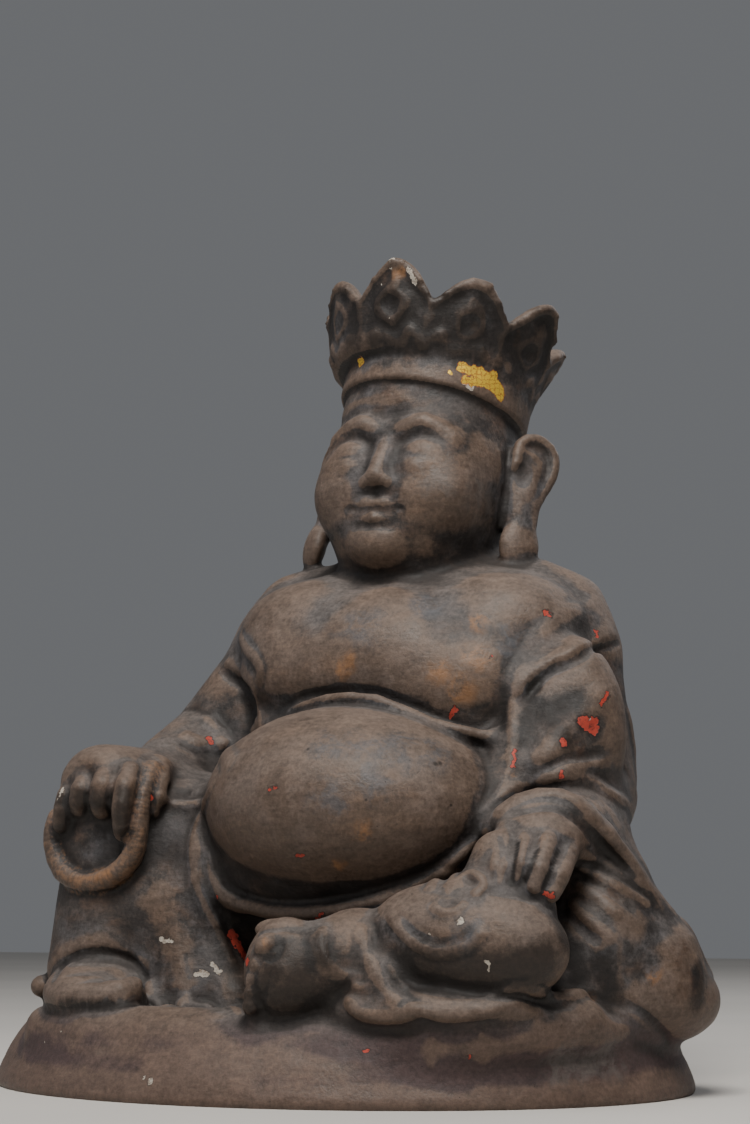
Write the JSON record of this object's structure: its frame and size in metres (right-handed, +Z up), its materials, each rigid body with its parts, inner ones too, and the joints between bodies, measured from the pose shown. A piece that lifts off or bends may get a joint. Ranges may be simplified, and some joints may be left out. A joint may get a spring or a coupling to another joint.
{
  "type": "laughing buddha statue",
  "caption": "Seated laughing buddha statue of lacquered wood with a tall leaf crown, bare belly, raised knee, prayer beads and cloth sack on an oval plinth.",
  "frame": {"origin": "centre of the footprint on the ground, at the plinth's underside", "axes": "+Z up, -Y towards the figure's front, +X towards the figure's left"},
  "size_m": [0.3908, 0.2854, 0.4427],
  "materials": {
    "lacquer": "old dark lacquer over carved wood, worn, dusty and satin"
  },
  "bodies": {
    "root": {"statue": "lacquer"}
  },
  "joints": []
}
